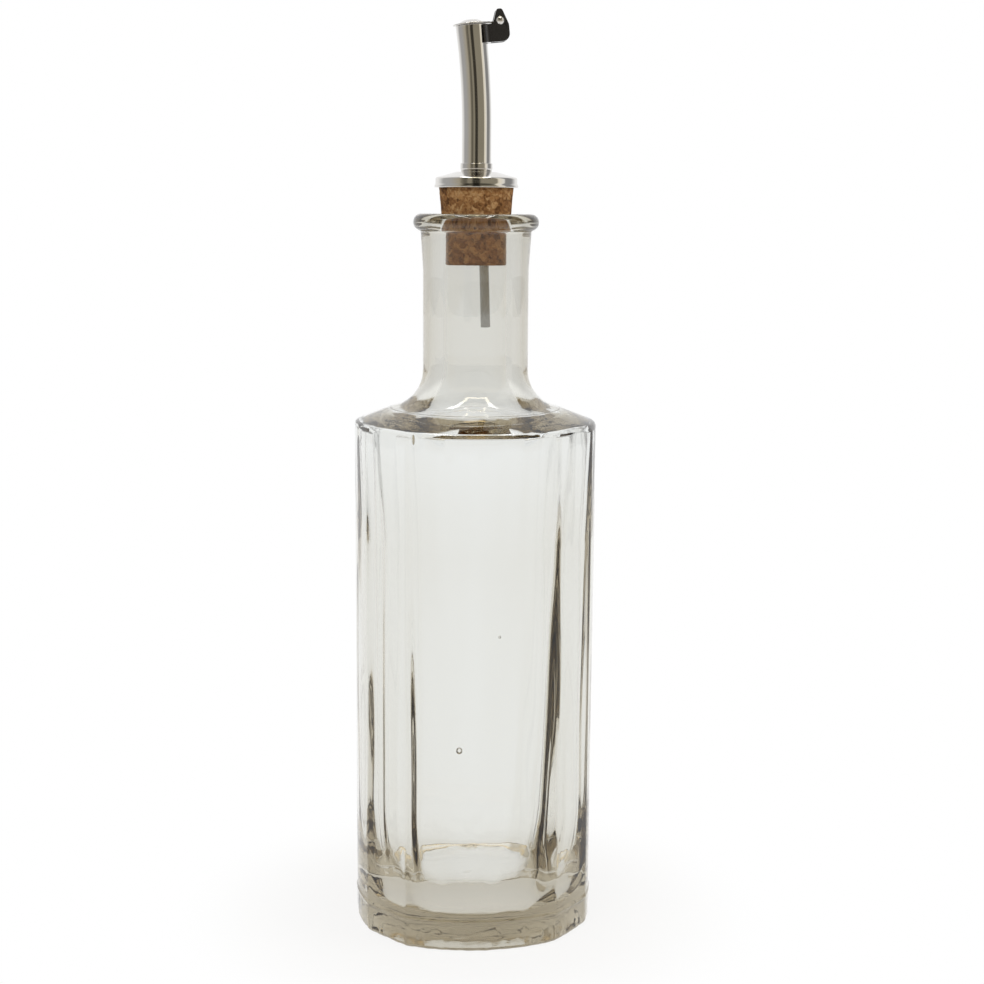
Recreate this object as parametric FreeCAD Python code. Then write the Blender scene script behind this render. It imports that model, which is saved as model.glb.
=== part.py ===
import FreeCAD, Part
import math
import os
from FreeCAD import Placement, Rotation, Vector

# Glass oil bottle closed by a cork pourer, in millimetres.
# The base centre is the origin, +Z is up, the front panel faces -Y and the spout bends to -X.

# Glass body: eight bowed panels round a circle, with a low sloping shoulder.
edge_circle = 78.0        # diameter through the vertical edges
front_angle = 74.0        # part of the round taken by the front and by the back panel, degrees
side_angle = 54.0         # part of the round taken by each side panel, degrees
front_bow = 5.4           # how far the front and back panels swell out from their edges
side_bow = 3.0            # the same for the side panels
facet_bow = 0.3           # the same for the four narrow corner panels
edge_radius = 3.5         # rounding of the vertical edges
body_height = 161.0       # up to the rim of the shoulder
shoulder_slope = 20.0     # degrees
shoulder_round = 3.0      # rounding of the rim of the shoulder
heel_radius = 1.5         # rounding of the bottom edge
neck_fillet = 8.0
wall = 5.0                # glass at the middle of the side panels
floor_thickness = 8.0
floor_fillet = 12.0
punt_depth = 3.0
standing_ring = 7.0       # width of the flat ring that the bottle stands on

# Neck and mouth.
neck_bore = 19.2
neck_wall = 6.8
neck_length = 56.6        # from the shoulder to the top of the lip
neck_swell = 0.8          # widening of the neck below the lip
swell_length = 12.0
lip_overhang = 3.05       # how far the lip stands out from the neck
lip_height = 5.2
mouth_flare = 1.3         # widening of the bore at the lip
flare_depth = 5.2

# Cork, held in the neck by its own squeeze.
cork_clearance = 0.15     # all round, so that it can be drawn out
cork_depth = 15.4         # part below the top of the lip
cork_standing = 10.5      # part above it
cork_spread = 1.0         # widening of the part that stands out of the neck
cork_chamfer = 0.6

# Pressed cap over the cork.
cap_overhang = 0.6        # from the cork's top edge to the inside of the rim
cap_sheet = 0.6
cap_rim = 3.0
cap_rise = 1.8            # height of the dome above the rim
cap_crown = 6.2           # radius of the flat crown round the spout

# Spout.
spout_diameter = 9.0
spout_wall = 0.45
spout_straight = 10.2     # from the ferrule to the bend
bend_radius = 240.0
bend_angle = 5.5
mouth_length = 8.0        # flared end of the spout
mouth_swell = 0.2         # widening at its rim
ferrule_wall = 0.4
ferrule_height = 2.6
joint_gap = 0.03          # between pressed or soldered pieces

# Breather tube in the spout.
breather_diameter = 3.0
breather_wall = 0.4
breather_lean = 1.8       # degrees
breather_below = 19.4     # part below the cork
breather_short = 11.0     # how far its upper end lies below the mouth

# Hinge at the mouth, measured from the middle of the mouth's rim.
pin_diameter = 1.2
pin_reach = 8.7           # from the spout's axis to the pin
pin_height = 0.5          # above the rim
pin_running = 0.05        # radial play of the lid on the pin
head_diameter = 2.4
head_height = 0.6
saddle_wall = 0.9
saddle_half_angle = 48.0
saddle_length = 5.4
saddle_drop = 0.25        # below the rim
ear_gap = 3.0
ear_thickness = 1.2
ear_back = 2.6            # from the pin to the outer edge
ear_tip = 3.5             # from the pin to the top
ear_crown = 0.8           # half width of the rounded top
ear_front = 2.3           # from the pin to the flank that faces the lid
ear_corner = 2.2

# Lid.
lid_diameter = 11.0
lid_sheet = 0.4
lid_dome = 1.5
lid_land = 1.2            # flat ring that closes on the spout
lid_gap = 0.1             # above the rim
lid_side_play = 0.1       # between the tongue and each ear
knuckle_wall = 0.55
shoulder_reach = 3.2      # from the pin to the shoulders that stop against the ears
shoulder_width = 5.0


def outline(corners):
    """Closed wire in the XZ plane through corners given as (x, z, rounding)."""
    points = [Vector(x, 0, z) for x, z, rounding in corners]
    ends = []
    for index, (x, z, rounding) in enumerate(corners):
        here = points[index]
        back = (points[index - 1] - here).normalize()
        ahead = (points[(index + 1) % len(points)] - here).normalize()
        if rounding == 0:
            ends.append((here, None, here))
            continue
        half = back.getAngle(ahead) / 2
        middle = (back + ahead).normalize() * (rounding / math.sin(half) - rounding)
        length = rounding / math.tan(half)
        ends.append((here + back * length, here + middle, here + ahead * length))
    edges = []
    for index, (start, middle, end) in enumerate(ends):
        if middle is not None:
            edges.append(Part.Arc(start, middle, end).toShape())
        edges.append(Part.makeLine(end, ends[(index + 1) % len(ends)][0]))
    return Part.Wire(edges)


def turned(corners, angle=360.0):
    """Solid turned about Z from a rounded outline."""
    return Part.Face(outline(corners)).revolve(Vector(0, 0, 0), Vector(0, 0, 1), angle)


def plate(corners, start, end):
    """Solid between two depths along Y from a rounded outline."""
    face = Part.Face(outline(corners))
    face.translate(Vector(0, start, 0))
    return face.extrude(Vector(0, end - start, 0))


def rod(radius, start, end, x=0.0, z=0.0):
    """Cylinder along Y."""
    return Part.makeCylinder(radius, end - start, Vector(x, start, z), Vector(0, 1, 0))


def around(angle, radius):
    """Point at an angle from the front of the bottle."""
    turn = math.radians(angle - 90)
    return Vector(radius * math.cos(turn), radius * math.sin(turn), 0)


# Glass bottle: the panelled prism trimmed by the turned outside, then hollowed.
edge_round = edge_circle / 2
neck_radius = neck_bore / 2 + neck_wall
slope = math.tan(math.radians(shoulder_slope))
side_middle = edge_round * math.cos(math.radians(side_angle / 2)) + side_bow
shoulder_rise = (side_middle - neck_radius) * slope
neck_root = body_height + shoulder_rise
lip_top = neck_root + neck_length
lip_bottom = lip_top - lip_height
lip_radius = neck_radius + lip_overhang

front_half = front_angle / 2
side_edge = 90 - side_angle / 2
edge_angles = [front_half, side_edge, 180 - side_edge, 180 - front_half]
edge_angles += [180 + front_half, 180 + side_edge, 360 - side_edge, 360 - front_half]
panel_bows = [facet_bow, side_bow, facet_bow, front_bow] * 2
panels = []
for index, bow in enumerate(panel_bows):
    first = edge_angles[index]
    last = edge_angles[(index + 1) % 8]
    span = (last - first) % 360
    crest = edge_round * math.cos(math.radians(span / 2)) + bow
    middle = around(first + span / 2, crest)
    panels.append(Part.Arc(around(first, edge_round), middle, around(last, edge_round)).toShape())
prism = Part.Face(Part.Wire(panels)).extrude(Vector(0, 0, lip_top))
upright = [edge for edge in prism.Edges if abs(edge.tangentAt(edge.FirstParameter).z) > 0.99]
prism = prism.makeFillet(edge_radius, upright)
prism = prism.makeFillet(heel_radius, [edge for edge in prism.Edges if edge.BoundBox.ZMax < heel_radius])

ring_outer = edge_round - heel_radius
ring_inner = ring_outer - standing_ring
outside = turned([
    (0, punt_depth, 0),
    (ring_inner - 2 * punt_depth, punt_depth, 2 * punt_depth),
    (ring_inner, 0, punt_depth / 2),
    (edge_round, 0, 0),
    (edge_round, body_height - (edge_round - side_middle) * slope, shoulder_round),
    (neck_radius, neck_root, neck_fillet),
    (neck_radius, lip_bottom - swell_length, 5 * swell_length),
    (neck_radius + neck_swell, lip_bottom, neck_swell / 2),
    (lip_radius, lip_bottom, lip_height * 0.48),
    (lip_radius, lip_top, lip_height * 0.48),
    (0, lip_top, 0),
])
cavity_radius = side_middle - wall
bore_radius = neck_bore / 2
cavity_shoulder = body_height + (side_middle - cavity_radius) * slope - wall
bore_root = cavity_shoulder + (cavity_radius - bore_radius) * slope
mouth_radius = bore_radius + mouth_flare
cavity = turned([
    (0, floor_thickness, 0),
    (cavity_radius, floor_thickness, floor_fillet),
    (cavity_radius, cavity_shoulder, wall),
    (bore_radius, bore_root, neck_fillet),
    (bore_radius, lip_top - flare_depth, flare_depth / 2),
    (mouth_radius, lip_top - mouth_flare, mouth_flare),
    (mouth_radius + mouth_flare, lip_top, 0),
    (mouth_radius + mouth_flare, lip_top + lip_height, 0),
    (0, lip_top + lip_height, 0),
])
glass_bottle = prism.common(outside).cut(cavity)

# Cork: straight in the bore, spread in the mouth and above it, bored for the spout.
cork_foot = lip_top - cork_depth
cork_top = lip_top + cork_standing
cork_radius = bore_radius - cork_clearance
cork_lip = mouth_radius - cork_clearance
cork_crown = cork_lip + cork_spread
spout_radius = spout_diameter / 2
shank_hole = spout_radius + joint_gap
cap_slope = cap_rise / (cork_crown + cap_overhang - cap_crown)
cork_shelf = cap_crown + cap_sheet
cork_stopper = turned([
    (shank_hole, cork_foot, 0),
    (cork_radius, cork_foot, cork_chamfer),
    (cork_radius, lip_top - flare_depth, flare_depth / 2),
    (cork_lip, lip_top - mouth_flare, flare_depth / 2),
    (cork_crown, cork_top, 0),
    (cork_shelf, cork_top + (cork_crown - cork_shelf) * cap_slope, 0),
    (shank_hole, cork_top + (cork_crown - cork_shelf) * cap_slope, 0),
])

# Cap: pressed sheet with a turned-down rim and a domed top, seated on the cork's sloping top.
cap_inner = cork_crown + cap_overhang
cap_outer = cap_inner + cap_sheet
cap_under = cork_top - cap_overhang * cap_slope
cap_edge = cap_under + cap_sheet
cap_top = cap_edge + cap_rise
cap_disc = turned([
    (cap_outer, cap_edge - cap_rim, 0),
    (cap_outer, cap_edge, cap_sheet),
    (cap_crown, cap_top, 0),
    (shank_hole, cap_top, 0),
    (shank_hole, cap_top - cap_sheet, 0),
    (cap_crown, cap_top - cap_sheet, 0),
    (cap_inner, cap_under, 0),
    (cap_inner, cap_edge - cap_rim, 0),
])

# Ferrule: beaded ring pressed on the spout, standing on the cap.
ferrule_outer = shank_hole + ferrule_wall
ferrule_top = cap_top + ferrule_height
spout_ferrule = turned([
    (shank_hole, cap_top, 0),
    (ferrule_outer, cap_top, ferrule_wall / 2),
    (ferrule_outer, ferrule_top, ferrule_wall / 2),
    (shank_hole, ferrule_top, 0),
])

# Spout: straight through the cork, gently bent, with a flared mouth.
bend_start = ferrule_top + spout_straight
spout_inner = spout_radius - spout_wall
bend_turn = math.radians(bend_angle)
bend_end = Vector(bend_radius * (math.cos(bend_turn) - 1), 0, bend_start + bend_radius * math.sin(bend_turn))
tilt = Rotation(Vector(0, -1, 0), bend_angle)
mouth_centre = bend_end + tilt.multVec(Vector(0, 0, mouth_length))
mouth = Placement(mouth_centre, tilt)
mouth_radius_out = spout_radius + mouth_swell
shank = turned([
    (spout_inner, cork_foot, 0),
    (spout_radius, cork_foot, 0),
    (spout_radius, bend_start, 0),
    (spout_inner, bend_start, 0),
])
ring = Part.Face(Part.Wire(Part.makeCircle(spout_radius, Vector(0, 0, bend_start))))
ring = ring.cut(Part.Face(Part.Wire(Part.makeCircle(spout_inner, Vector(0, 0, bend_start)))))
bend = ring.Faces[0].revolve(Vector(-bend_radius, 0, bend_start), Vector(0, -1, 0), bend_angle)
flared = turned([
    (spout_inner, -mouth_length, 0),
    (spout_radius, -mouth_length, 0),
    (mouth_radius_out, 0, 0),
    (mouth_radius_out - spout_wall, 0, 0),
])
flared.Placement = mouth
spout_tube = shank.fuse([bend, flared]).removeSplitter()

# Breather: straight thin tube, soldered to the foot of the spout and leaning across it.
breather_radius = breather_diameter / 2
lean = Rotation(Vector(0, -1, 0), breather_lean)
breather_foot = cork_foot - breather_below
breather_length = (mouth_centre.z - breather_short - breather_foot) / math.cos(math.radians(breather_lean))
breather_offset = spout_inner - joint_gap - breather_radius / math.cos(math.radians(breather_lean))
breather_tube = turned([
    (breather_radius - breather_wall, 0, 0),
    (breather_radius, 0, 0),
    (breather_radius, breather_length, 0),
    (breather_radius - breather_wall, breather_length, 0),
])
breather_start = breather_offset + breather_below * math.tan(math.radians(breather_lean))
breather_tube.Placement = Placement(Vector(breather_start, 0, breather_foot), lean)

# Hinge bracket: saddle moulded round the mouth, with two ears that carry the pin.
pin_radius = pin_diameter / 2
saddle_top = -saddle_drop
saddle_foot = saddle_top - saddle_length
flare = mouth_swell / mouth_length
saddle_inner = mouth_radius_out + joint_gap
saddle_outer = saddle_inner + saddle_wall
saddle = turned([
    (saddle_inner + flare * saddle_foot, saddle_foot, 0),
    (saddle_outer, saddle_foot, saddle_wall / 3),
    (saddle_outer, saddle_top, saddle_wall / 3),
    (saddle_inner + flare * saddle_top, saddle_top, 0),
], 2 * saddle_half_angle)
saddle.rotate(Vector(0, 0, 0), Vector(0, 0, 1), -saddle_half_angle)
ear_inner = ear_gap / 2
ear_outer = ear_inner + ear_thickness
ear_root = math.sqrt(saddle_outer ** 2 - ear_outer ** 2) - saddle_wall / 3
ear_outline = [
    (ear_root, saddle_foot, 0),
    (pin_reach + ear_back, saddle_foot, ear_corner),
    (pin_reach + ear_back, pin_height - ear_back / 2, ear_back),
    (pin_reach + ear_crown, pin_height + ear_tip, ear_crown),
    (pin_reach - ear_crown, pin_height + ear_tip, ear_crown),
    (pin_reach - ear_front, saddle_top, pin_radius),
    (ear_root, saddle_top, 0),
]
near_ear = plate(ear_outline, -ear_outer, -ear_inner)
far_ear = plate(ear_outline, ear_inner, ear_outer)
pin_hole = rod(pin_radius + joint_gap, -ear_outer, ear_outer, pin_reach, pin_height)
hinge_bracket = saddle.fuse([near_ear, far_ear]).cut(pin_hole).removeSplitter()
hinge_bracket.Placement = mouth

# Hinge pin: rivet with a round head on each ear.
head_round = head_diameter / 2
head_curve = (head_round ** 2 + head_height ** 2) / (2 * head_height)
heads = []
for side in (-1, 1):
    ball = Part.makeSphere(head_curve, Vector(pin_reach, side * (ear_outer + head_height - head_curve), pin_height))
    blank = rod(head_round, ear_outer, ear_outer + head_height, pin_reach, pin_height)
    if side < 0:
        blank = rod(head_round, -ear_outer - head_height, -ear_outer, pin_reach, pin_height)
    heads.append(ball.common(blank))
hinge_pin = rod(pin_radius, -ear_outer, ear_outer, pin_reach, pin_height).fuse(heads).removeSplitter()
hinge_pin.Placement = mouth

# Lid: domed sheet with stop shoulders and a tongue rolled round the pin.
lid_radius = lid_diameter / 2
lid_under = lid_gap
lid_top = lid_gap + lid_sheet
dome_radius = lid_radius - lid_land
dome = turned([
    (0, lid_under + lid_dome - lid_sheet, 0),
    (dome_radius / 2, lid_under + lid_dome - lid_sheet, dome_radius / 2),
    (dome_radius, lid_under, lid_dome / 2),
    (lid_radius, lid_under, 0),
    (lid_radius, lid_top, lid_sheet / 3),
    (dome_radius, lid_top, lid_dome / 2),
    (dome_radius / 2, lid_top + lid_dome - lid_sheet, dome_radius / 2),
    (0, lid_top + lid_dome - lid_sheet, 0),
])
tongue_half = ear_inner - lid_side_play
shoulder_edge = pin_reach - shoulder_reach
shoulders = Part.makeBox(shoulder_edge - dome_radius, shoulder_width, lid_sheet,
                         Vector(dome_radius, -shoulder_width / 2, lid_under))
tongue = Part.makeBox(pin_reach - dome_radius, 2 * tongue_half, lid_sheet,
                      Vector(dome_radius, -tongue_half, lid_under))
knuckle_bore = pin_radius + pin_running
knuckle = rod(knuckle_bore + knuckle_wall, -tongue_half, tongue_half, pin_reach, pin_height)
knuckle_hole = rod(knuckle_bore, -tongue_half, tongue_half, pin_reach, pin_height)
lid_flap = dome.fuse([shoulders, tongue, knuckle]).cut(knuckle_hole).removeSplitter()
lid_flap.Placement = mouth

os.makedirs("parts", exist_ok=True)
glass_bottle.exportStep("parts/glass_bottle.step")
cork_stopper.exportStep("parts/cork_stopper.step")
cap_disc.exportStep("parts/cap_disc.step")
spout_ferrule.exportStep("parts/spout_ferrule.step")
spout_tube.exportStep("parts/spout_tube.step")
breather_tube.exportStep("parts/breather_tube.step")
hinge_bracket.exportStep("parts/hinge_bracket.step")
hinge_pin.exportStep("parts/hinge_pin.step")
lid_flap.exportStep("parts/lid_flap.step")
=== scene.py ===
import math

import bmesh
import bpy
from mathutils import Matrix, Vector


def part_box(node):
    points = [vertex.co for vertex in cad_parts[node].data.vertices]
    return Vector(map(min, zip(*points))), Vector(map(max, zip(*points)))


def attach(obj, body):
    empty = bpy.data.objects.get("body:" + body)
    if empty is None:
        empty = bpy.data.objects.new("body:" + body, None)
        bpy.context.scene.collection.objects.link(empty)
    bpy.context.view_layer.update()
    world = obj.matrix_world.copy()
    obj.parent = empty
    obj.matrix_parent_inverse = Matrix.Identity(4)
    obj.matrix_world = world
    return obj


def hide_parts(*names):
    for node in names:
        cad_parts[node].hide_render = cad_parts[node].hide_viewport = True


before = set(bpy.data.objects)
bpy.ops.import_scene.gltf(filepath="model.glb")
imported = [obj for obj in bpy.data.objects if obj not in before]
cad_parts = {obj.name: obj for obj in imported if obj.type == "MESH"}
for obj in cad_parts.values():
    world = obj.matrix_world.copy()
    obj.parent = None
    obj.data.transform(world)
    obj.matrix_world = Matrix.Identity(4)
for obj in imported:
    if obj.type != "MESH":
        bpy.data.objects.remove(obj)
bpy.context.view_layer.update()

# Glass bottle: pale soda-lime glass blown in an eight-panelled mould, with the neck and its
# rolled lip in the same piece. The walls are uneven and rippled inside, as blown glass is, and
# three seed bubbles are left in them.
edge_circle = 0.0390
panel_angles = (74, 26, 54, 26)
panel_bows = (0.0054, 0.0003, 0.0030, 0.0003)
columns_per_degree = 1.35
corner_smoothing = 1
soft_corners = 40
inner_roundness = 0.35
shoulder_roundness = 0.45
round_within = 0.5
heel_round = 0.0015
heel_height = 0.008
standing_ring = 0.0305
punt_radius = 0.006
punt_depth = 0.0005
mould_line = 0.0095
mould_ridge = 0.0004
mould_rows = 4
rim_height = 0.161
rim_round = 0.0015
brow_radius = 0.027
brow_height = 0.1653
brow_round = 0.006
neck_radius = 0.0164
neck_root = 0.1668
neck_fillet = 0.012
swell_start = 0.20817
swell_radius = 0.0172
lip_radius = 0.01945
lip_height = 0.0052
lip_round = lip_height * 0.48
lip_tuck = 0.0006
mouth_radius = 0.0109
mouth_round = 0.0030
bore_radius = 0.0096
bore_root = 0.1665
bore_fillet = 0.016
cavity_radius = 0.03275
cavity_rim = 0.1600
cavity_round = 0.0010
thin_start = 0.125
thin_radius = 0.0356
thin_end = 0.156
thin_start_round = 0.02
thin_end_round = 0.01
roof_radius = 0.026
roof_height = 0.1620
roof_round = 0.01
floor_height = 0.004
floor_rise = 0.040
floor_reach = 0.0155
floor_slump = 0.0105
floor_rows = 18
glass_row = 0.005
nearly = 0.999
lip_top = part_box("glass_bottle")[1].z
lip_foot = lip_top - lip_height
pole_radius = 1e-6
weld = 1e-5
arc_step = math.radians(14)


def rounded(corners, step):
    """Points at most a step apart along a line through (across, up, rounding) corners."""
    spots = [Vector(corner[:2]) for corner in corners]
    path = [spots[0]]
    for before, here, after, corner in zip(spots, spots[1:], spots[2:], corners[1:]):
        radius = corner[2]
        if radius == 0:
            path.append(here)
            continue
        back = (before - here).normalized()
        ahead = (after - here).normalized()
        half = back.angle(ahead) / 2
        centre = here + (back + ahead).normalized() * radius / math.sin(half)
        spoke = here + back * radius / math.tan(half) - centre
        sweep = math.copysign(math.pi - 2 * half, back.y * ahead.x - back.x * ahead.y)
        count = max(2, math.ceil(abs(sweep) / arc_step))
        for index in range(count + 1):
            path.append(centre + Matrix.Rotation(sweep * index / count, 2) @ spoke)
    path.append(spots[-1])
    points = [path[0]]
    for end in path[1:]:
        run = end - points[-1]
        start = points[-1]
        count = max(1, math.ceil(run.length / step))
        points += [start + run * (index + 1) / count for index in range(count)]
    return points


def draw_rows(points):
    """Draws the selected ring out through (radius, height) points, the first being where it is."""
    for here, there in zip(points, points[1:]):
        spread = max(there.x, pole_radius) / max(here.x, pole_radius)
        bpy.ops.mesh.extrude_region()
        bpy.ops.transform.resize(value=(spread, spread, 1), center_override=(0, 0, here.y))
        bpy.ops.transform.translate(value=(0, 0, there.y - here.y))


def select(piece, chosen):
    """Selects the vertices of the piece in edit mode whose places pass a test."""
    bpy.ops.mesh.select_all(action="DESELECT")
    shape = bmesh.from_edit_mesh(piece.data)
    for vertex in shape.verts:
        vertex.select_set(bool(chosen(vertex.co)))
    shape.select_flush(True)
    bmesh.update_edit_mesh(piece.data)


def name_piece(name):
    """Names the new primitive, moves its place into its mesh and opens it in edit mode."""
    piece = bpy.context.object
    piece.name = name
    piece.data.name = name
    bpy.ops.object.transform_apply(location=True, rotation=True, scale=True)
    bpy.ops.object.mode_set(mode="EDIT")
    return piece


def close_mesh(crease):
    """Merges seams and poles, turns the faces outwards and shades them smooth up to a crease."""
    bpy.ops.mesh.select_all(action="SELECT")
    bpy.ops.mesh.remove_doubles(threshold=weld)
    bpy.ops.mesh.normals_make_consistent(inside=False)
    bpy.ops.object.mode_set(mode="OBJECT")
    bpy.ops.object.shade_smooth_by_angle(angle=math.radians(crease))


def apply_modifier(piece, kind, **settings):
    """Adds a modifier of a kind to the active piece and applies it."""
    modifier = piece.modifiers.new(kind.lower(), kind)
    for name, value in settings.items():
        setattr(modifier, name, value)
    bpy.ops.object.modifier_apply(modifier=modifier.name)


def ripple(piece, group, depth, size, stretch):
    """Moves a group's vertices in and out by soft ripples, drawn out upwards by a stretch."""
    bpy.ops.object.empty_add()
    guide = bpy.context.object
    guide.scale = (1, 1, stretch)
    bpy.context.view_layer.update()
    bpy.ops.object.select_all(action="DESELECT")
    piece.select_set(True)
    bpy.context.view_layer.objects.active = piece
    cloud = bpy.data.textures.new(group, "CLOUDS")
    cloud.noise_scale = size
    cloud.noise_depth = 1
    apply_modifier(piece, "DISPLACE", texture=cloud, texture_coords="OBJECT",
                   texture_coords_object=guide, vertex_group=group, strength=depth, mid_level=0.5)
    bpy.data.objects.remove(guide)
    bpy.data.textures.remove(cloud)


def around(angle, radius):
    """Place at an angle from the front of the bottle, in degrees."""
    return Vector((radius * math.sin(math.radians(angle)), -radius * math.cos(math.radians(angle)), 0))


bpy.ops.object.select_all(action="DESELECT")
bpy.ops.mesh.primitive_plane_add(size=edge_circle)
bottle = name_piece("glass_bottle_piece")
bpy.ops.mesh.merge(type="CENTER")
edge_angle = -panel_angles[0] / 2
bpy.ops.transform.translate(value=around(edge_angle, edge_circle) + Vector((0, 0, heel_round)))
for angle, bow in 2 * list(zip(panel_angles, panel_bows)):
    half_width = edge_circle * math.sin(math.radians(angle / 2))
    bend = (half_width ** 2 + bow ** 2) / (2 * bow)
    crest = edge_circle * math.cos(math.radians(angle / 2)) + bow
    middle = around(edge_angle + angle / 2, crest - bend) + Vector((0, 0, heel_round))
    bpy.ops.mesh.spin(steps=round(angle * columns_per_degree), angle=2 * math.asin(half_width / bend),
                      center=middle, axis=(0, 0, -1))
    edge_angle += angle
bpy.ops.mesh.select_all(action="SELECT")
bpy.ops.mesh.remove_doubles(threshold=weld)
bpy.ops.mesh.vertices_smooth(factor=0.5, repeat=corner_smoothing)
ring = bmesh.from_edit_mesh(bottle.data).verts
body_radius = sum(vertex.co.xy.length for vertex in ring) / len(ring)


def draw_shoulder(points, rim, roundness):
    """Draws a panelled ring out through points, and rounds it off from a rim to the neck."""
    for here, there in zip(points, points[1:]):
        draw_rows([here, there])
        if there.y > rim:
            share = 1.0 if there.x < body_radius * round_within else roundness
            bpy.ops.transform.tosphere(value=share, center_override=(0, 0, there.y))


bpy.ops.mesh.duplicate()
cavity_foot = floor_height + floor_rise
draw_rate = cavity_radius / body_radius
bpy.ops.transform.resize(value=(draw_rate, draw_rate, 1), center_override=(0, 0, heel_round))
bpy.ops.transform.translate(value=(0, 0, cavity_foot - heel_round))
bpy.ops.mesh.vertices_smooth(factor=0.5, repeat=soft_corners)
bpy.ops.transform.tosphere(value=inner_roundness, center_override=(0, 0, cavity_foot))
draw_shoulder(rounded([
    (cavity_radius, cavity_foot, 0),
    (cavity_radius, thin_start, thin_start_round),
    (thin_radius, thin_end, thin_end_round),
    (thin_radius, cavity_rim, cavity_round),
    (roof_radius, roof_height, roof_round),
    (bore_radius, bore_root, bore_fillet),
    (bore_radius, lip_foot, lip_height / 2),
    (mouth_radius, lip_top - mouth_round, 0),
], glass_row), cavity_rim, shoulder_roundness)
select(bottle, lambda place: abs(place.z - cavity_foot) < weld)
width = cavity_radius
middle = Vector((0, 0, cavity_foot))
for row in range(1, floor_rows + 1):
    bend = math.pi / 2 * row / floor_rows
    inset = 1 - math.cos(bend)
    spread = (cavity_radius - floor_reach * inset) / width
    next_middle = Vector((0, floor_slump * inset, cavity_foot - floor_rise * math.sin(bend)))
    bpy.ops.mesh.extrude_region()
    bpy.ops.transform.resize(value=(spread, spread, 1), center_override=middle)
    bpy.ops.transform.translate(value=next_middle - middle)
    width *= spread
    middle = next_middle
bpy.ops.mesh.extrude_region()
bpy.ops.transform.resize(value=(pole_radius / width, pole_radius / width, 1), center_override=middle)
select(bottle, lambda place: abs(place.z - heel_round) < weld)
draw_shoulder(rounded([
    (body_radius, heel_round, 0),
    *[(body_radius, mould_line + mould_ridge * row, 0) for row in range(-mould_rows, mould_rows + 1)],
    (body_radius, rim_height, rim_round),
    (brow_radius, brow_height, brow_round),
    (neck_radius, neck_root, neck_fillet),
    (neck_radius, swell_start, 0),
    (swell_radius, lip_foot, lip_tuck),
    (lip_radius, lip_foot, lip_round),
    (lip_radius, lip_top, lip_round),
    (mouth_radius, lip_top, mouth_round * nearly),
    (mouth_radius, lip_top - mouth_round, 0),
], glass_row), rim_height - rim_round / 2, shoulder_roundness)
select(bottle, lambda place: abs(place.z - heel_round) < weld)
draw_rows(rounded([
    (body_radius, heel_round, 0),
    (body_radius, 0, heel_round * nearly),
    (standing_ring, 0, punt_depth / 2),
    (punt_radius, punt_depth, 2 * punt_depth),
    (0, punt_depth, 0),
], glass_row))
close_mesh(crease=40)
base_fade_start = 0.010
base_fade = 0.022


def group_vertices(piece, name, share):
    """Gives each vertex its share of a named group, from 0 to 1, by its place."""
    group = piece.vertex_groups.new(name=name)
    for vertex in piece.data.vertices:
        group.add([vertex.index], float(share(vertex.co, vertex.normal)), "REPLACE")


def in_cavity(place, facing):
    """Whether a place on the glass faces into the hollow, below its roof."""
    return floor_height - weld < place.z < cavity_rim and facing.xy.dot(place.xy) < weld


def above_floor(place):
    """Share that runs from 0 near the inner floor to 1 on the upright wall."""
    return min(1.0, max(0.0, (place.z - base_fade_start) / base_fade))


def faces_out(place, facing):
    """Whether a place on the glass is on the outside of the wall."""
    return facing.xy.dot(place.xy) > 0


# Runs of thicker glass, by angle from the front and width in degrees, height, reach and share.
corner_runs = (
    (45.5, 9.0, 0.050, 0.050, 1.0),
    (46.5, 9.0, 0.030, 0.025, 0.7),
    (-40, 3.5, 0.055, 0.035, 0.6),
    (-72, 7.0, 0.040, 0.040, 0.15),
    (-58, 2.0, 0.070, 0.070, 0.25),
    (66, 4.0, 0.050, 0.060, 0.2),
    (117, 4.0, 0.030, 0.060, 0.6),
    (-117, 4.0, 0.050, 0.060, 0.6),
    (143, 4.0, 0.035, 0.060, 0.6),
    (-143, 4.0, 0.040, 0.060, 0.6),
)


def corner_glass(place, facing):
    """Share of the thicker glass that has run down inside the edges of the panels."""
    if not in_cavity(place, facing):
        return 0
    angle = math.degrees(math.atan2(place.x, -place.y))
    return above_floor(place) * sum(
        amount * math.exp(-((angle - edge) / width) ** 2 - ((place.z - middle) / reach) ** 2)
        for edge, width, middle, reach, amount in corner_runs)


corner_depth = 0.0022
mould_depth = 0.0003
mould_width = 1.5 * mould_ridge
panel_foot = mould_line + 5 * mould_ridge
roof_inner = bore_radius * 1.4
group_vertices(bottle, "corners", corner_glass)
group_vertices(bottle, "wall", lambda place, facing: in_cavity(place, facing) * above_floor(place))
group_vertices(bottle, "base", lambda place, facing: in_cavity(place, facing) * (1 - above_floor(place)))
group_vertices(bottle, "panels", lambda place, facing: faces_out(place, facing)
               and panel_foot < place.z < rim_height - rim_round)
group_vertices(bottle, "shoulder", lambda place, facing: cavity_rim - weld < place.z < bore_root
               and facing.xy.dot(place.xy) < 0 and place.xy.length > roof_inner)
group_vertices(bottle, "heel", lambda place, facing: faces_out(place, facing)
               and weld < place.z < heel_height and place.y < 0)
group_vertices(bottle, "mould_line", lambda place, facing: (faces_out(place, facing) and place.y < 0)
               * math.exp(-((place.z - mould_line) / mould_width) ** 2))
apply_modifier(bottle, "DISPLACE", vertex_group="corners", strength=corner_depth, mid_level=0.0)
apply_modifier(bottle, "DISPLACE", vertex_group="mould_line", strength=mould_depth, mid_level=0.0)
for group, depth, size, stretch in (
    ("wall", 0.0012, 0.010, 9.0),
    ("base", 0.0008, 0.009, 1.0),
    ("panels", 0.00016, 0.012, 6.0),
    ("shoulder", 0.00025, 0.008, 1.0),
    ("heel", 0.0003, 0.003, 0.8),
):
    ripple(bottle, group, depth, size, stretch)

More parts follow.
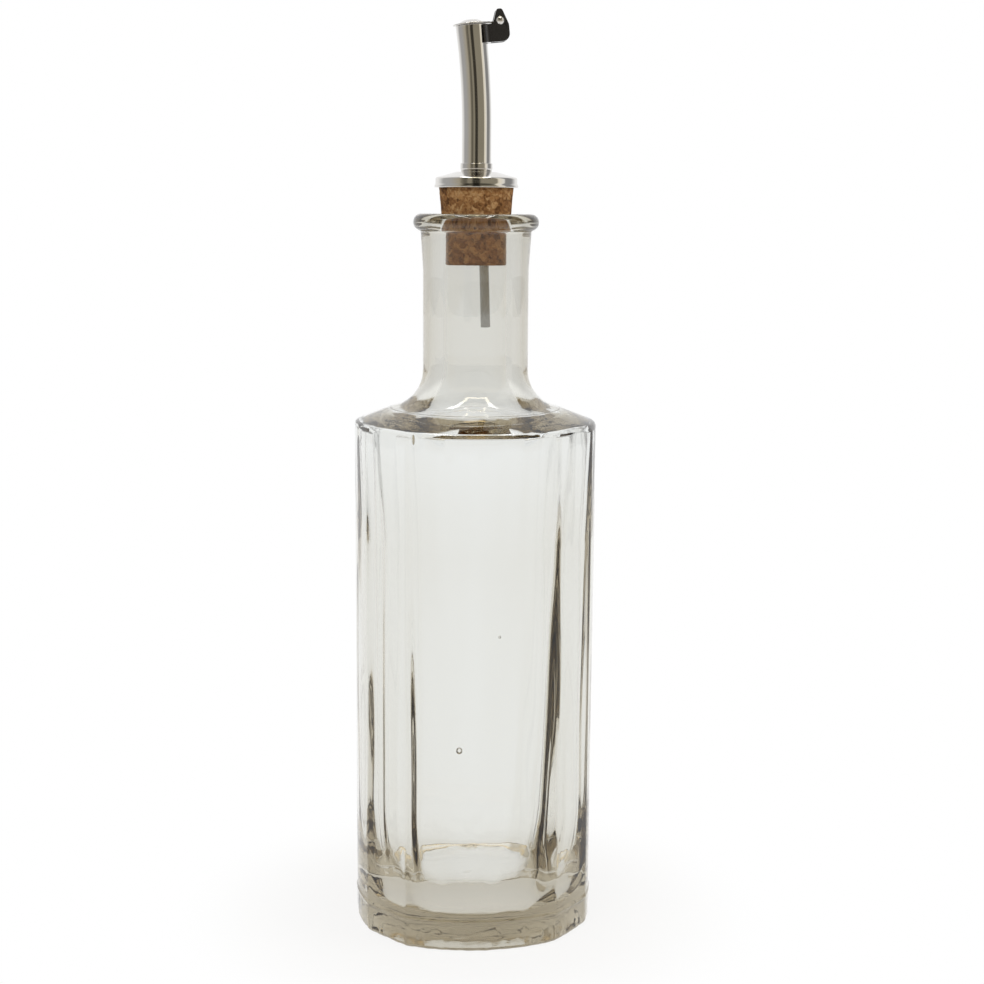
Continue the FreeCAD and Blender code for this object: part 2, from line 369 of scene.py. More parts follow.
bubble_columns = 24
bubble_flattening = 0.8
# Seed bubbles, by place, radius and how far they are drawn out upwards.
seeds = (
    ((-0.0071, -0.0342, 0.0643), 0.00095, 1.12),
    ((0.0048, -0.0344, 0.0997), 0.0004, 1.12),
    ((-0.0205, -0.0288, 0.1585), 0.0005, 2.6),
)
for place, radius, length in seeds:
    bpy.ops.object.mode_set(mode="EDIT")
    bpy.ops.mesh.select_all(action="DESELECT")
    bpy.ops.mesh.primitive_uv_sphere_add(segments=bubble_columns, ring_count=bubble_columns // 2,
                                         radius=radius, location=place,
                                         scale=(1, bubble_flattening, length))
    bpy.ops.mesh.faces_shade_smooth()
    bpy.ops.mesh.flip_normals()
    bpy.ops.object.mode_set(mode="OBJECT")


class Finish:
    """A value in a node tree: arithmetic on it adds Math nodes, and node() adds any other."""

    def __init__(self, tree, socket=None):
        self.tree = tree
        self.socket = socket

    def feed(self, node, values):
        """Sets or links a node's sockets."""
        for name, value in values.items():
            if isinstance(value, Finish):
                self.tree.links.new(value.socket, node.inputs[name])
            else:
                node.inputs[name].default_value = value

    def node(self, kind, settings, values, output=0):
        """Adds a node of a type with its settings and its sockets' values or links."""
        node = self.tree.nodes.new(kind)
        for name, value in settings.items():
            if name == "stops":
                while len(node.color_ramp.elements) < len(value):
                    node.color_ramp.elements.new(1.0)
                for element, (place, colour) in zip(node.color_ramp.elements, value):
                    element.position = place
                    element.color = (*colour, 1.0)
            else:
                setattr(node, name, value)
        self.feed(node, values)
        return Finish(self.tree, node.outputs[output])

    def maths(self, operation, first, second):
        """Adds a Math node."""
        return self.node("ShaderNodeMath", {"operation": operation}, {0: first, 1: second})

    def __add__(self, other):
        return self.maths("ADD", self, other)

    def __radd__(self, other):
        return self.maths("ADD", other, self)

    def __sub__(self, other):
        return self.maths("SUBTRACT", self, other)

    def __rsub__(self, other):
        return self.maths("SUBTRACT", other, self)

    def __mul__(self, other):
        return self.maths("MULTIPLY", self, other)

    def __rmul__(self, other):
        return self.maths("MULTIPLY", other, self)

    def spread(self, low, high):
        """Runs smoothly from 0 at a low value to 1 at a high one."""
        return self.node("ShaderNodeMapRange", {"interpolation_type": "SMOOTHSTEP"},
                         {"Value": self, "From Min": low, "From Max": high})

    def mix(self, first, second):
        """A colour between two, by this value."""
        return self.node("ShaderNodeMix", {"data_type": "RGBA"}, {0: self, 6: first, 7: second}, 2)

    def noise(self, scale, stretch=(1, 1, 1), detail=2.0):
        """Soft noise over the piece, in its own coordinates, with a scale per metre."""
        place = self.node("ShaderNodeTexCoord", {}, {}, "Object")
        place = self.node("ShaderNodeMapping", {}, {"Vector": place, "Scale": stretch})
        return self.node("ShaderNodeTexNoise", {}, {"Vector": place, "Scale": scale, "Detail": detail})

    def bump(self, depth, strength=1.0):
        """A normal that follows this value as relief of a depth in metres."""
        return self.node("ShaderNodeBump", {}, {"Height": self, "Distance": depth, "Strength": strength})


def new_material(name):
    """A material with its tree and its Principled shader."""
    material = bpy.data.materials.new(name)
    material.use_nodes = True
    return material, Finish(material.node_tree), material.node_tree.nodes["Principled BSDF"]


glass, tree, shader = new_material("pale_blown_glass")
draw_marks = tree.noise(300, (1, 1, 0.04))
smudges = tree.noise(60, (1, 1, 0.5))
place = tree.node("ShaderNodeTexCoord", {}, {}, "Object")
height = tree.node("ShaderNodeSeparateXYZ", {}, {"Vector": place}, "Z")
bottom = 1 - height.spread(0.0004, 0.0012)
tree.feed(shader, {
    "Base Color": smudges.mix((0.985, 0.985, 0.975, 1), (1.0, 1.0, 0.995, 1)),
    "Roughness": smudges.spread(0.45, 0.75) * 0.02 + bottom * 0.02,
    "IOR": 1.51,
    "Transmission Weight": 1.0,
    "Normal": draw_marks.bump(0.00002),
})
olive = (0.348, 0.239, 0.0, 1)
absorption = tree.node("ShaderNodeVolumeAbsorption", {}, {"Color": olive, "Density": 23.0})
glass.node_tree.links.new(absorption.socket, glass.node_tree.nodes["Material Output"].inputs["Volume"])
bottle.data.materials.append(glass)
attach(bottle, "bottle")
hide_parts("glass_bottle")

# Cork stopper: ground cork pressed with a binder into a tapered plug, bored for the spout and
# held in the neck by its own squeeze. Single grains show light and dark, and open pits are dented
# in and painted near black as painted shade. The part in the neck is tinted warmer, with more red,
# as painted light for the light that reaches it through the glass.
cork_low, cork_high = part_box("cork_stopper")
cork_foot = cork_low.z
cork_gap = 0.00015
cork_radius = bore_radius - cork_gap
cork_mouth = mouth_radius - cork_gap
cork_crown = cork_high.x
cork_edge = 0.23587
cork_shelf = 0.0068
cork_chamfer = 0.0006
cork_flare = 0.0013
shank_hole = 0.00453


def turn(name, corners, columns, step):
    """A turned piece: a ring drawn out row by row along a rounded (radius, height) outline."""
    points = rounded(corners, step)
    bpy.ops.object.select_all(action="DESELECT")
    bpy.ops.mesh.primitive_circle_add(vertices=columns, radius=max(points[0].x, pole_radius),
                                      location=(0, 0, points[0].y))
    piece = name_piece(name)
    draw_rows(points)
    return piece


cork = turn("cork_stopper_piece", [
    (shank_hole, cork_foot, 0),
    (cork_radius, cork_foot, cork_chamfer),
    (cork_radius, lip_foot, lip_height / 2),
    (cork_mouth, lip_top - cork_flare, lip_height / 2),
    (cork_crown, cork_edge, 0.0003),
    (cork_shelf, cork_high.z, 0.0003),
    (shank_hole, cork_high.z, 0),
    (shank_hole, cork_foot, 0),
], columns=160, step=0.0004)
close_mesh(crease=60)
grain_size = 0.0014
grain_depth = 0.00016
granules = bpy.data.textures.new("granules", "VORONOI")
granules.noise_scale = grain_size
apply_modifier(cork, "DISPLACE", texture=granules, texture_coords="LOCAL", strength=-grain_depth,
               mid_level=0.15)
bpy.data.textures.remove(granules)

coarse_scale = 480.0
small_scale = 1300.0
fleck_scale = 330.0
wander_scale = 900.0
wander_depth = 0.0016
seam_colour = (0.095, 0.043, 0.016, 1)
# Painted shade inside the open pits.
pit_shade_colour = (0.050, 0.022, 0.010, 1)
# Painted light: this colour tints the cork in the neck warmer, with more red, for the light that reaches
# it through the glass.
neck_light_colour = (1.16, 1.0, 0.92, 1)
pressed_cork, tree, shader = new_material("pressed_cork")
place = tree.node("ShaderNodeTexCoord", {}, {}, "Object")
height = tree.node("ShaderNodeSeparateXYZ", {}, {"Vector": place}, "Z")
neck_light_share = 1 - height.spread(lip_foot, lip_top)
wander = tree.node("ShaderNodeTexNoise", {}, {"Vector": place, "Scale": wander_scale, "Detail": 4.0},
                   "Color")
shift = tree.node("ShaderNodeVectorMath", {"operation": "SCALE"}, {0: wander, "Scale": wander_depth})
place = tree.node("ShaderNodeVectorMath", {"operation": "ADD"}, {0: place, 1: shift})


def grains(scale, feature, output):
    """Cells of ground cork of a scale per metre."""
    return tree.node("ShaderNodeTexVoronoi", {"feature": feature},
                     {"Vector": place, "Scale": scale}, output)


coarse = tree.node("ShaderNodeSeparateColor", {}, {"Color": grains(coarse_scale, "F1", "Color")})
small = tree.node("ShaderNodeSeparateColor", {}, {"Color": grains(small_scale, "F1", "Color")})
seam = grains(coarse_scale, "DISTANCE_TO_EDGE", "Distance")
fleck = grains(fleck_scale, "F1", "Distance")
fine = tree.noise(2500, detail=4.0)
mottle = tree.noise(420, detail=3.0)
grain_colour = tree.node("ShaderNodeValToRGB", {"stops": [
    (0.26, (0.100, 0.042, 0.013)),
    (0.42, (0.230, 0.104, 0.035)),
    (0.58, (0.370, 0.190, 0.072)),
    (0.72, (0.500, 0.298, 0.134)),
]}, {"Fac": coarse * 0.35 + small * 0.25 + mottle * 0.45})
seam_dark = 1 - seam.spread(0.0, 0.08)
# Open pits are dented in by the bump and painted near black, as painted shade inside them.
pit = (1 - fleck.spread(0.10, 0.20)) * mottle.spread(0.45, 0.60)
shaded = (seam_dark * 0.35 + fine.spread(0.55, 0.8) * 0.25).mix(grain_colour, seam_colour)
pit_shaded = (pit * 0.85).mix(shaded, pit_shade_colour)
# Painted light: the cork in the neck is tinted warmer, for the light that reaches it through the glass.
neck_light_tint = neck_light_share.mix((1, 1, 1, 1), neck_light_colour)
tree.feed(shader, {
    "Base Color": tree.node("ShaderNodeMix", {"data_type": "RGBA", "blend_type": "MULTIPLY"},
                            {0: 1.0, 6: pit_shaded, 7: neck_light_tint}, 2),
    "Roughness": 0.72 + fine * 0.25,
    "Normal": (seam.spread(0.0, 0.18) + fine * 0.5 - pit * 0.9).bump(0.00012, 0.8),
    "Specular IOR Level": 0.25,
})
cork.data.materials.append(pressed_cork)
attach(cork, "stopper")
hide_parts("cork_stopper")

# Cap: thin stainless sheet pressed into a low dome with a turned-down rim, polished, and pulled
# down on the cork's sloping top by the spout.
cap_low, cap_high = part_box("cap_disc")
cap_sheet = 0.0006
cap_edge = 0.23630
cap_crown = 0.0062
rim_flare = 0.0003
rim_bead = 0.0006
rim_groove = 0.0012
cap_inner = cap_high.x - cap_sheet
cap_under = cap_edge - cap_sheet
cap = turn("cap_disc_piece", [
    (shank_hole, cap_high.z - cap_sheet, 0),
    (cap_crown, cap_high.z - cap_sheet, 0.001),
    (cap_inner, cap_under, 0.0003),
    (cap_inner, cap_low.z, 0.0002),
    (cap_inner + cap_sheet / 2, cap_low.z, 0),
    (cap_high.x, cap_low.z, 0.00025),
    (cap_high.x, cap_low.z + rim_bead, 0.0004),
    (cap_high.x - rim_flare, cap_low.z + rim_groove, 0.0006),
    (cap_high.x - rim_flare, cap_edge, 0.0007),
    (cap_crown, cap_high.z, 0.002),
    (shank_hole, cap_high.z, 0),
    (shank_hole, cap_high.z - cap_sheet, 0),
], columns=160, step=0.0008)
close_mesh(crease=35)


def steel_material(name, roughness, line_scale, stretch=(1, 1, 1), relief=0.000006, tone=1.0):
    """Polished stainless steel with fine lines from drawing or turning, and faint wipe marks."""
    material, tree, shader = new_material(name)
    lines = tree.noise(line_scale, stretch, 3.0)
    wiped = tree.noise(180, (1, 1, 0.6))
    dull = (0.66 * tone, 0.64 * tone, 0.61 * tone, 1)
    bright = (0.76 * tone, 0.745 * tone, 0.72 * tone, 1)
    tree.feed(shader, {
        "Base Color": wiped.mix(dull, bright),
        "Metallic": 1.0,
        "Roughness": roughness + lines.spread(0.35, 0.75) * 0.04 + wiped.spread(0.5, 0.8) * 0.04,
        "Normal": lines.bump(relief, 0.5),
    })
    return material


cap.data.materials.append(steel_material("pressed_steel", roughness=0.09, line_scale=900))
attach(cap, "stopper")
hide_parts("cap_disc")

# Ferrule: a short ring turned from stainless steel, with a bead round it. It is pressed on the
# spout and closes the joint with the cap.
ferrule_low, ferrule_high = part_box("spout_ferrule")
ferrule_height = ferrule_high.z - ferrule_low.z
ferrule_tuck = 0.00025
bead_share = 0.35
ferrule = turn("spout_ferrule_piece", [
    (shank_hole, ferrule_low.z, 0),
    (ferrule_high.x - ferrule_tuck, ferrule_low.z, 0.0001),
    (ferrule_high.x, ferrule_low.z + ferrule_height * bead_share, 0.0008),
    (ferrule_high.x, ferrule_high.z, 0.0002),
    (shank_hole, ferrule_high.z, 0),
    (shank_hole, ferrule_low.z, 0),
], columns=96, step=0.0003)
close_mesh(crease=35)
ferrule.data.materials.append(steel_material("beaded_steel", roughness=0.09, line_scale=900))
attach(ferrule, "stopper")
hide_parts("spout_ferrule")

# Spout: drawn stainless tube, straight through the cap and the cork, then bent a little and
# flared at its mouth. Polished along its length, so it shows long streaks.
spout_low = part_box("spout_tube")[0]
spout_radius = 0.0045
spout_wall = 0.00045
bend_start = 0.250895
bend_radius = 0.240
bend_angle = math.radians(5.5)
mouth_length = 0.008
mouth_swell = 0.0002
tube_columns = 96
tube_edge = 0.00012
tube_crease = math.radians(50)
bend_end = Vector((bend_radius * (math.cos(bend_angle) - 1), 0,
                   bend_start + bend_radius * math.sin(bend_angle)))
mouth_tilt = Matrix.Rotation(-bend_angle, 3, "Y")
mouth_centre = bend_end + mouth_tilt @ Vector((0, 0, mouth_length))
bpy.ops.object.select_all(action="DESELECT")
bpy.ops.mesh.primitive_circle_add(vertices=tube_columns, radius=spout_radius, location=(0, 0, spout_low.z))
spout = name_piece("spout_tube_piece")
draw_rows(rounded([(spout_radius, spout_low.z, 0), (spout_radius, bend_start, 0)], 0.004))
bpy.ops.mesh.spin(steps=12, angle=bend_angle, center=(-bend_radius, 0, bend_start), axis=(0, 1, 0))
flare_rows = 6
flare = (1 + mouth_swell / spout_radius) ** (1 / flare_rows)
flare_centre = bend_end
for row in range(flare_rows):
    rise = mouth_tilt @ Vector((0, 0, mouth_length / flare_rows))
    flare_centre = flare_centre + rise
    bpy.ops.mesh.extrude_region()
    bpy.ops.transform.translate(value=rise)
    bpy.ops.transform.resize(value=(flare, flare, flare), center_override=flare_centre)
close_mesh(crease=60)
apply_modifier(spout, "SOLIDIFY", thickness=spout_wall, offset=-1.0)
apply_modifier(spout, "BEVEL", width=tube_edge, segments=2, limit_method="ANGLE", angle_limit=tube_crease)
bpy.ops.object.shade_smooth_by_angle(angle=tube_crease)
spout.data.materials.append(steel_material("drawn_steel", roughness=0.06, line_scale=2600,
                                           stretch=(1, 1, 0.012)))
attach(spout, "stopper")
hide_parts("spout_tube")

# Breather: thin steel air tube soldered inside the foot of the spout. It leans across the spout
# and stands out below the cork, so that air can follow the oil.
breather_low, breather_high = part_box("breather_tube")
breather_radius = 0.0015
breather_wall = 0.0004
breather_edge = 0.0001
breather_lean = math.radians(1.8)
breather_foot = Vector((breather_high.x - breather_radius * math.cos(breather_lean), 0,
                        breather_low.z + breather_radius * math.sin(breather_lean)))
breather_rise = Matrix.Rotation(-breather_lean, 3, "Y") @ Vector((0, 0, 1))
breather_length = (breather_high.z - breather_low.z) / math.cos(breather_lean)
breather_length -= 2 * breather_radius * math.tan(breather_lean)
bpy.ops.object.select_all(action="DESELECT")
bpy.ops.mesh.primitive_circle_add(vertices=48, radius=breather_radius, location=breather_foot,
                                  rotation=(0, -breather_lean, 0))
breather = name_piece("breather_tube_piece")
breather_rows = 16
for row in range(breather_rows):
    bpy.ops.mesh.extrude_region()
    bpy.ops.transform.translate(value=breather_rise * breather_length / breather_rows)
close_mesh(crease=60)
apply_modifier(breather, "SOLIDIFY", thickness=breather_wall, offset=-1.0)
apply_modifier(breather, "BEVEL", width=breather_edge, segments=2, limit_method="ANGLE",
               angle_limit=tube_crease)
bpy.ops.object.shade_smooth_by_angle(angle=tube_crease)
breather.data.materials.append(steel_material("thin_tube_steel", roughness=0.22, line_scale=2600,
                                              stretch=(1, 1, 0.012), relief=0.00001, tone=0.5))
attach(breather, "stopper")
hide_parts("breather_tube")

# Hinge bracket: glossy black plastic moulded in one piece, a saddle clamped on the mouth of the
# spout and two ears that carry the pin. All its edges are rounded by the mould.
saddle_inner = 0.00473
saddle_outer = 0.00563
saddle_foot = -0.00565
saddle_top = -0.00025
saddle_angle = math.radians(96)
ear_inner = 0.0015
ear_outer = 0.0027
pin_place = Vector((0.0087, 0, 0.0005))
pin_radius = 0.0006
pin_gap = 0.00003
moulded_edge = 0.00055
ear_root = 0.00464
ear_back = 0.0113
ear_top = 0.0040
ear_corners = [
    (ear_root, saddle_foot, 0),
    (ear_back, saddle_foot, 0.0022),
    (ear_back, -0.0008, 0.0026),
    (0.0095, ear_top, 0.0008),
    (0.0079, ear_top, 0.0008),
    (0.0064, saddle_top, 0.0006),
    (ear_root, saddle_top, 0),
]


def plate(name, corners, start, end):
    """A flat plate with a rounded (across, up) outline between two depths."""
    points = rounded(corners, 0.002)
    bpy.ops.object.select_all(action="DESELECT")
    bpy.ops.mesh.primitive_plane_add(size=0.001)
    piece = name_piece(name)
    bpy.ops.mesh.merge(type="CENTER")
    bpy.ops.transform.translate(value=(points[0].x, start, points[0].y))
    for here, there in zip(points, points[1:]):
        bpy.ops.mesh.extrude_region()
        bpy.ops.transform.translate(value=(there.x - here.x, 0, there.y - here.y))
    bpy.ops.mesh.select_all(action="SELECT")
    bpy.ops.mesh.edge_face_add()
    bpy.ops.mesh.extrude_region()
    bpy.ops.transform.translate(value=(0, end - start, 0))
    close_mesh(crease=35)
    return piece


def combine(piece, other, operation):
    """Joins another solid to the piece or cuts it away, and removes the other."""
    bpy.ops.object.select_all(action="DESELECT")
    piece.select_set(True)
    bpy.context.view_layer.objects.active = piece
    apply_modifier(piece, "BOOLEAN", object=other, operation=operation, solver="EXACT")
    bpy.data.objects.remove(other)


def pin_rod(radius, half_length):
    """A rod along the hinge's axis."""
    bpy.ops.object.select_all(action="DESELECT")
    bpy.ops.mesh.primitive_cylinder_add(vertices=48, radius=radius, depth=2 * half_length,
                                        location=pin_place, rotation=(math.pi / 2, 0, 0))
    rod = name_piece("rod")
    close_mesh(crease=35)
    return rod


def set_on_mouth(piece):
    """Moves a piece from the mouth's own axes to the mouth of the spout."""
    bpy.ops.object.select_all(action="DESELECT")
    piece.select_set(True)
    bpy.context.view_layer.objects.active = piece
    piece.rotation_euler = (0, -bend_angle, 0)
    piece.location = mouth_centre
    bpy.ops.object.transform_apply(location=True, rotation=True, scale=True)


bpy.ops.object.select_all(action="DESELECT")
bpy.ops.mesh.primitive_plane_add(size=0.001)
bracket = name_piece("hinge_bracket_piece")
bpy.ops.mesh.merge(type="CENTER")
bpy.ops.transform.translate(value=(saddle_inner * math.cos(saddle_angle / 2),
                                   -saddle_inner * math.sin(saddle_angle / 2), saddle_foot))
bpy.ops.mesh.extrude_region()
bpy.ops.transform.translate(value=((saddle_outer - saddle_inner) * math.cos(saddle_angle / 2),
                                   (saddle_inner - saddle_outer) * math.sin(saddle_angle / 2), 0))
bpy.ops.mesh.select_all(action="SELECT")
bpy.ops.mesh.extrude_region()
bpy.ops.transform.translate(value=(0, 0, saddle_top - saddle_foot))
bpy.ops.mesh.select_all(action="SELECT")
bpy.ops.mesh.spin(steps=28, angle=saddle_angle, center=(0, 0, 0), axis=(0, 0, -1))
close_mesh(crease=35)
for near, far in ((-ear_outer, -ear_inner), (ear_inner, ear_outer)):
    combine(bracket, plate("ear", ear_corners, near, far), "UNION")
combine(bracket, pin_rod(pin_radius + pin_gap, 2 * ear_outer), "DIFFERENCE")
apply_modifier(bracket, "BEVEL", width=moulded_edge, segments=3, limit_method="ANGLE",
               angle_limit=math.radians(40))
bpy.ops.object.shade_smooth_by_angle(angle=math.radians(50))
set_on_mouth(bracket)
apply_modifier(bracket, "WEIGHTED_NORMAL", keep_sharp=True)

black_plastic, tree, shader = new_material("moulded_black_plastic")
flow = tree.noise(900, detail=3.0)
rubbed = tree.noise(2400, detail=2.0)
tree.feed(shader, {
    "Base Color": flow.mix((0.006, 0.006, 0.007, 1), (0.014, 0.013, 0.014, 1)),
    "Roughness": 0.16 + rubbed.spread(0.4, 0.7) * 0.08,
    "Coat Weight": 0.8 + flow * 0.2,
    "Coat Roughness": 0.06,
    "Specular IOR Level": 0.9,
    "Normal": rubbed.bump(0.00001, 0.3),
})
bracket.data.materials.append(black_plastic)
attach(bracket, "stopper")
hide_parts("hinge_bracket")

# Hinge pin: a small steel rivet pushed through both ears of the bracket. A domed head is closed
# on each side, and the flap turns on the shank between the ears.
head_radius = 0.0012
head_height = 0.0006
head_rows = 6
pin_end = ear_outer + head_height
head_curve = (head_radius ** 2 + head_height ** 2) / (2 * head_height)
head_angle = math.asin(head_radius / head_curve)
head_turns = [head_angle * row / head_rows for row in range(head_rows + 1)]
near_head = [(head_curve * math.sin(bend), head_curve * (1 - math.cos(bend)) - pin_end, 0)
             for bend in head_turns]
far_head = [(across, -up, 0) for across, up, _ in reversed(near_head)]
shank = [(pin_radius, -ear_outer, 0), (pin_radius, ear_outer, 0)]
pin = turn("hinge_pin_piece", near_head + shank + far_head, columns=48, step=0.0003)
close_mesh(crease=40)
pin.rotation_euler = (math.pi / 2, 0, 0)
pin.location = pin_place
bpy.ops.object.transform_apply(location=True, rotation=True, scale=True)
set_on_mouth(pin)
pin.data.materials.append(steel_material("rivet_steel", roughness=0.16, line_scale=1800, relief=0.000008))
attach(pin, "stopper")
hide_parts("hinge_pin")

# Lid flap: thin stainless sheet domed over the mouth, with stop shoulders and a tongue rolled
# round the pin. It swings open as the bottle is tipped and falls shut by its own weight.
lid_radius = 0.0055
lid_gap = 0.0001
lid_sheet = 0.0004
lid_top = lid_gap + lid_sheet
lid_rise = 0.0011
dome_radius = 0.0043
lid_land = dome_radius + 0.0003
shoulder_edge = 0.0055
shoulder_half = 0.0025
tongue_half = 0.0014
knuckle_radius = 0.0012
knuckle_bore = 0.00065
lid = turn("lid_flap_piece", [
    (0, lid_gap + lid_rise, 0),
    (dome_radius / 2, lid_gap + lid_rise, dome_radius / 2),
    (dome_radius, lid_gap, 0.00075),
    (lid_radius - lid_sheet / 2, lid_gap, 0),
    (lid_radius, lid_gap, 0.00015),
    (lid_radius, lid_top, 0.00015),
    (dome_radius, lid_top, 0.00075),
    (dome_radius / 2, lid_top + lid_rise, dome_radius / 2),
    (0, lid_top + lid_rise, 0),
], columns=96, step=0.0006)
close_mesh(crease=40)
tongue_corners = [
    (lid_land, lid_gap, 0),
    (pin_place.x, lid_gap, 0),
    (pin_place.x, lid_top, 0),
    (lid_land, lid_top, 0),
]
tongue = plate("tongue", tongue_corners, -tongue_half, tongue_half)
shoulder_corners = [
    (lid_land, lid_gap, 0),
    (shoulder_edge, lid_gap, 0),
    (shoulder_edge, lid_top, 0),
    (lid_land, lid_top, 0),
]
combine(lid, plate("shoulders", shoulder_corners, -shoulder_half, shoulder_half), "UNION")
combine(tongue, pin_rod(knuckle_radius, tongue_half), "UNION")
combine(lid, tongue, "UNION")
combine(lid, pin_rod(knuckle_bore, 2 * tongue_half), "DIFFERENCE")
bpy.ops.object.shade_smooth_by_angle(angle=math.radians(35))
set_on_mouth(lid)
lid.data.materials.append(steel_material("lid_steel", roughness=0.14, line_scale=1400))
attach(lid, "lid")
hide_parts("lid_flap")

# Floor: a wide white sheet of paper under the bottle, which keeps its soft shadow. It glows white,
# and less so beside the bottle. Painted shadow darkens it under the glass and painted shade far off,
# both as seen through the glass, and painted shade darkens its near side where the neck mirrors it.
floor_size = 6.0
floor_gap = 0.0001
shadow_reach = (0.04, 0.10)
shadow_white = 0.88
# Painted shade that darkens the far floor as seen through the glass.
far_shade_reach = (0.3, 1.2)
far_shade_drop = 0.11
# Painted shadow on the floor under the bottle, as seen through the glass.
glass_shadow_reach = (0.036, 0.042)
glass_shadow_drop = 0.10
# Painted shade that darkens the floor's near side as seen mirrored in the steel and glass.
near_reach = (-0.6, -0.15)
near_shade_drop = 0.85
glass_white = 0.99
white = (1, 1, 1, 1)
paper_colour = (0.80, 0.74, 0.64, 1)
backdrop_colour = (0.935, 0.97, 1.0, 1)
bpy.ops.object.select_all(action="DESELECT")
bpy.ops.mesh.primitive_plane_add(size=floor_size)
floor = bpy.context.object
floor.name = "floor"
floor.location.z = -floor_gap
paper, tree, shader = new_material("white_paper")
tree.feed(shader, {"Base Color": paper_colour, "Roughness": 0.9, "Specular IOR Level": 0.0})


def ray_kinds(tree):
    """Whether a ray comes straight from the camera, or by way of steel or glass."""
    kinds = [tree.node("ShaderNodeLightPath", {}, {}, kind) for kind in
             ("Is Camera Ray", "Is Glossy Ray", "Is Transmission Ray")]
    return kinds[0], kinds[1] * (1 - kinds[2]), kinds[2]


direct, mirrored, refracted = ray_kinds(tree)
place = tree.node("ShaderNodeTexCoord", {}, {}, "Object")
away = tree.node("ShaderNodeVectorMath", {"operation": "LENGTH"}, {0: place}, "Value")
along = tree.node("ShaderNodeSeparateXYZ", {}, {"Vector": place}, "Y")
unshaded = away.spread(*shadow_reach)
# Painted shade on the far floor, for rays through the glass.
far_away = away.spread(*far_shade_reach)
# Painted shadow under the bottle, for rays through the glass.
under_glass_shadow = 1 - away.spread(*glass_shadow_reach)
# Painted shade on the floor's near side, for mirrored rays.
near_side = 1 - along.spread(*near_reach)
seen_direct = direct * (shadow_white + unshaded * (1 - shadow_white))
seen_mirrored = mirrored * (1 - near_side * near_shade_drop)
seen_refracted = refracted * (glass_white - far_away * far_shade_drop - under_glass_shadow * glass_shadow_drop)
whiteness = seen_direct + seen_mirrored + seen_refracted
glow_tint = refracted.mix(white, backdrop_colour)
glow = tree.node("ShaderNodeEmission", {}, {"Color": glow_tint, "Strength": 1.0})
lit = Finish(tree.tree, shader.outputs["BSDF"])
surface = tree.node("ShaderNodeMixShader", {}, {0: whiteness, 1: lit, 2: glow})
paper.node_tree.links.new(surface.socket, paper.node_tree.nodes["Material Output"].inputs["Surface"])
floor.data.materials.append(paper)

# Studio: a white background that shows in the glass and the steel, a darker room towards the
# camera, a tall window on the right and the bright frame of a box overhead. Two soft lamps light
# the cork and the plastic.
room_level = 0.30
# What the steel mirrors, by azimuth from the front, inner and outer angle, and amount.
wall_lights = (
    (180, 38, 72, 1.0 - room_level),
    (-85, 25, 50, 0.16),
    (70, 8, 15, 0.65),
    (-5, 7, 14, -0.25),
    (-40, 5, 13, -0.15),
)
frame_half_width = 0.24
frame_half_depth = 0.45
frame_edge = (0.02, 0.05)
frame_rise = (0.3, 0.5)
frame_level = 10.0
dusk_height = math.radians(60)
dusk_drop = 0.7
front_level = 0.60
facing_drop = 0.1
ceiling_level = 1.8
backdrop_level = 0.88
high_rise = (0.25, 0.55)
high_gain = 0.25
plain_level = 0.5
warm_colour = (1.0, 0.90, 0.68, 1)
world = bpy.data.worlds.new("studio")
bpy.context.scene.world = world
world.use_nodes = True
tree = Finish(world.node_tree)
towards = tree.node("ShaderNodeTexCoord", {}, {}, "Generated")
across, along, up = [tree.node("ShaderNodeSeparateXYZ", {}, {"Vector": towards}, axis)
                     for axis in "XYZ"]
flat = tree.node("ShaderNodeVectorMath", {"operation": "MULTIPLY"}, {0: towards, 1: (1, 1, 0)})
level = tree.node("ShaderNodeVectorMath", {"operation": "NORMALIZE"}, {0: flat})


def light_from(direction, aim, inner, outer):
    """1 within an inner angle of an aim, falling to 0 at an outer one, in degrees."""
    facing = tree.node("ShaderNodeVectorMath", {"operation": "DOT_PRODUCT"},
                       {0: direction, 1: aim}, "Value")
    return facing.spread(math.cos(math.radians(outer)), math.cos(math.radians(inner)))


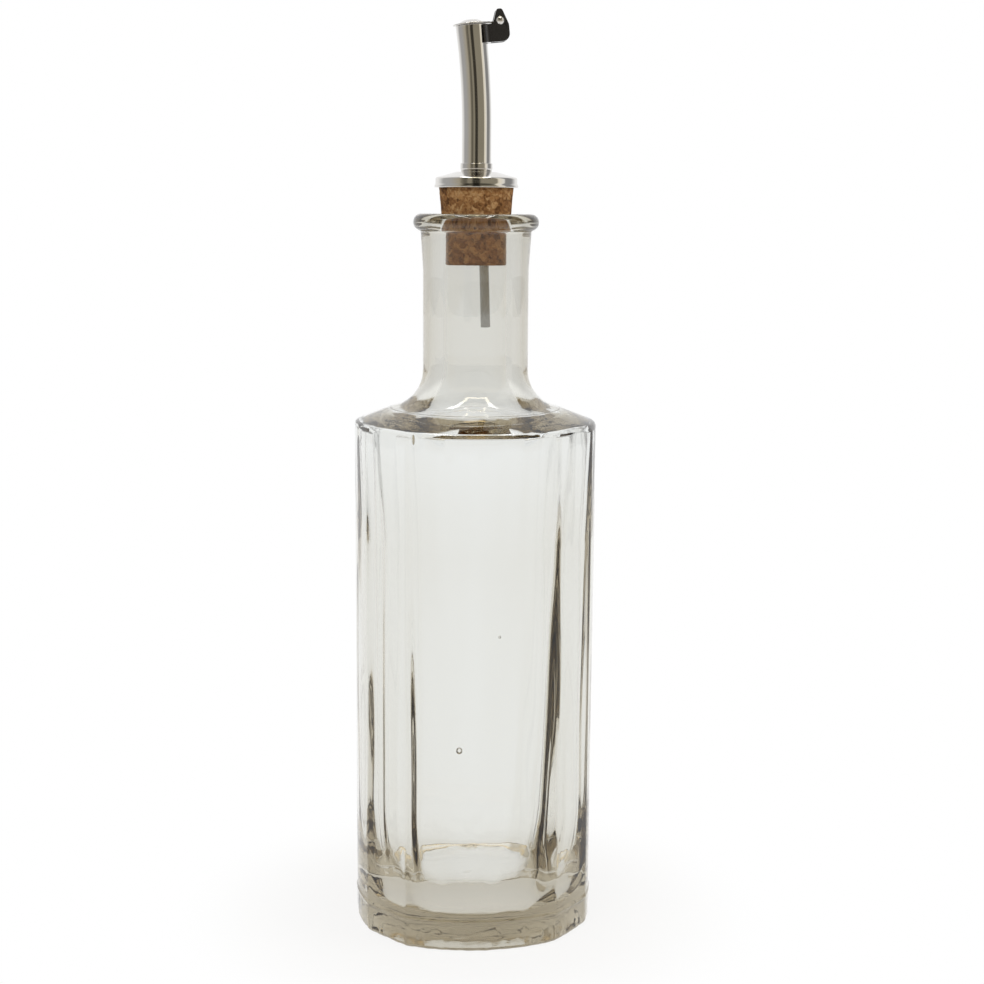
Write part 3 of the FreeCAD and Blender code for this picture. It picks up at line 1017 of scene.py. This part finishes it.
beside = tree.maths("ABSOLUTE", across, 0) - up * frame_half_width
beyond = tree.maths("ABSOLUTE", along, 0) - up * frame_half_depth
edge = tree.maths("ABSOLUTE", tree.maths("MAXIMUM", beside, beyond), 0)
overhead_frame = (1 - edge.spread(*frame_edge)) * up.spread(*frame_rise) * frame_level
walls = room_level
for azimuth, inner, outer, amount in wall_lights:
    walls = walls + light_from(level, around(azimuth, 1), inner, outer) * amount
dusk_aim = around(0, math.cos(dusk_height)) + Vector((0, 0, math.sin(dusk_height)))
dusk = light_from(towards, dusk_aim, 25, 45)
shine = walls * (1 - dusk * dusk_drop) + overhead_frame
behind = light_from(level, around(180, 1), 75, 92)
ceiling = light_from(towards, (0, 0, 1), 20, 45)
facing = light_from(level, around(0, 1), 30, 75)
front = (front_level - facing * facing_drop) * (1 - ceiling) + ceiling * ceiling_level
back = backdrop_level + up.spread(*high_rise) * high_gain
tent = behind * back + (1 - behind) * front
direct, mirrored, refracted = ray_kinds(tree)
spread_light = (1 - direct - mirrored - refracted) * plain_level
strength = direct + mirrored * shine + refracted * tent + spread_light
warm = mirrored * light_from(level, around(0, 1), 40, 95) + refracted * (1 - behind)
cool = refracted * behind
tint = warm.mix(cool.mix(white, backdrop_colour), warm_colour)
tree.feed(world.node_tree.nodes["Background"], {"Color": tint, "Strength": strength})

lamp_target = Vector((0, 0, 0.15))
# The lamps, by name, place, size and power.
lamps = (
    ("front_lamp", (-0.7, -0.9, 0.9), 0.8, 5.0),
    ("right_lamp", (0.9, -0.3, 0.7), 0.6, 4.0),
)
for name, place, size, power in lamps:
    bpy.ops.object.light_add(type="AREA", location=place)
    lamp = bpy.context.object
    lamp.name = name
    lamp.data.size = size
    lamp.data.energy = power
    lamp.rotation_euler = (lamp_target - Vector(place)).to_track_quat("-Z", "Y").to_euler()
    lamp.visible_glossy = False
    lamp.visible_transmission = False

# Camera: close to the bottle, a little above its shoulder and left of its front. Light is followed
# through many reflections, because thick glass traps it.
camera_distance = 0.548
camera_height = 0.229
camera_azimuth = -4.75
camera_aim = Vector((0.0055, 0, 0.1382))
camera_lens = 64.1
camera_roll = math.radians(0.40)
glass_bounces = 32
bpy.ops.object.camera_add(location=around(camera_azimuth, camera_distance) + Vector((0, 0, camera_height)))
camera = bpy.context.object
camera.name = "camera"
camera.data.lens = camera_lens
camera.rotation_euler = (camera_aim - camera.location).to_track_quat("-Z", "Y").to_euler()
camera.rotation_euler.rotate_axis("Z", camera_roll)
bpy.context.scene.camera = camera
bpy.context.scene.view_settings.view_transform = "Standard"
bpy.context.scene.cycles.max_bounces = glass_bounces
bpy.context.scene.cycles.glossy_bounces = glass_bounces
bpy.context.scene.cycles.transmission_bounces = glass_bounces
